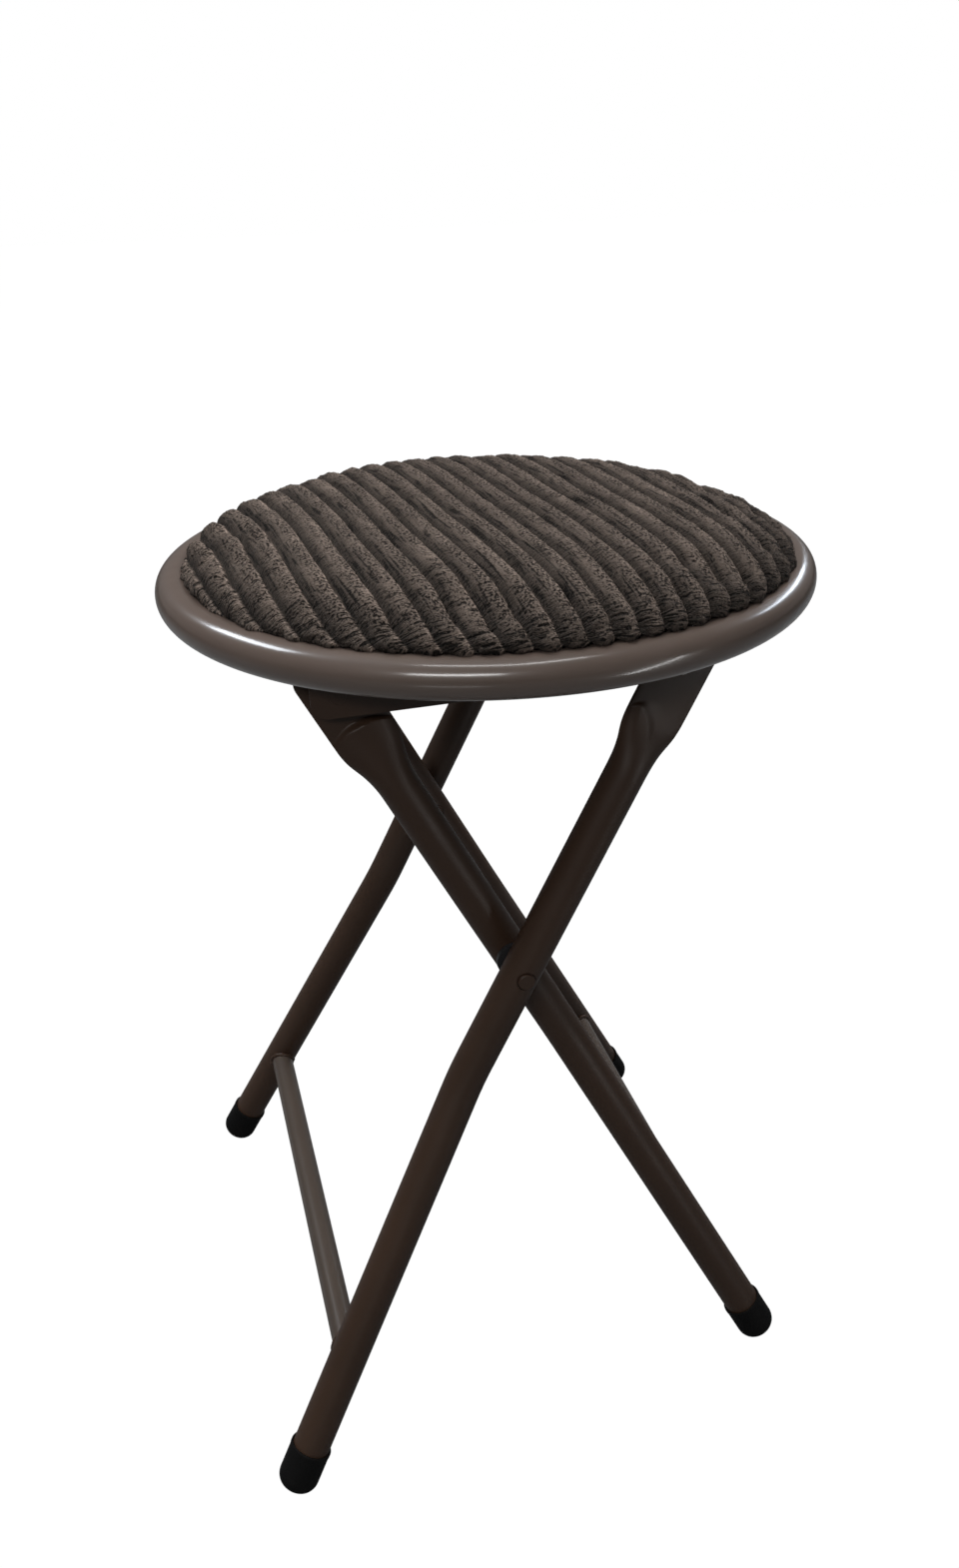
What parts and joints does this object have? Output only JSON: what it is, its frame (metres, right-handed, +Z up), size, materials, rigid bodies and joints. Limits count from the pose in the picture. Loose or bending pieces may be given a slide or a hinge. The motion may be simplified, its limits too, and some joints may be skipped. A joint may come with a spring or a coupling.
{
  "type": "folding stool",
  "caption": "Folding stool with a round padded corduroy seat in a tube ring, crossed painted tube legs with crushed tops, thin crossbars and rubber feet.",
  "frame": {"origin": "on the floor, under the middle of the outline seen from above, which is the middle of the seat ring", "axes": "+Z up; -Y towards the front pair of legs, whose outer leg leans with its top to +X; +X to the side on which the inner legs stand"},
  "size_m": [0.32, 0.32, 0.4634],
  "materials": {
    "paint": "semi-gloss metallic bronze",
    "cover": "wide-wale corduroy",
    "foam": "open-cell foam",
    "board": "raw plywood",
    "rubber": "satin",
    "bush": "matte",
    "zinc": "zinc plated"
  },
  "bodies": {
    "inner_frame": {"inner_leg_front": "paint", "inner_leg_rear": "paint", "inner_crossbar": "paint", "inner_foot_front": "rubber", "inner_foot_rear": "rubber", "cross_washer_front": "bush", "cross_washer_rear": "bush"},
    "outer_frame": {"outer_leg_front": "paint", "outer_leg_rear": "paint", "outer_crossbar": "paint", "outer_foot_front": "rubber", "outer_foot_rear": "rubber", "hook_stud_front": "zinc", "hook_stud_rear": "zinc", "cross_rivet_front": "paint", "cross_rivet_rear": "paint"},
    "seat": {"seat_ring": "paint", "seat_rail_front": "paint", "seat_rail_rear": "paint", "seat_board": "board", "seat_foam": "foam", "seat_cover": "cover", "cover_staples": "zinc", "board_screws": "zinc", "seat_rivet_front": "paint", "seat_rivet_rear": "paint", "seat_bush_front": "bush", "seat_bush_rear": "bush"}
  },
  "joints": [
    {"name": "leg_fold", "type": "hinge", "parent": "inner_frame", "child": "outer_frame", "pos_m": [-0.01565, 0, 0.26075], "axis": [0, -1, 0], "range_deg": [0, 48.8]},
    {"name": "seat_fold", "type": "hinge", "parent": "inner_frame", "child": "seat", "pos_m": [-0.0916, 0, 0.40948], "axis": [0, -1, 0], "range_deg": [0, 114]}
  ],
  "couplings": [
    {"joint": "seat_fold", "follows": "leg_fold", "ratio": 2.335}
  ]
}
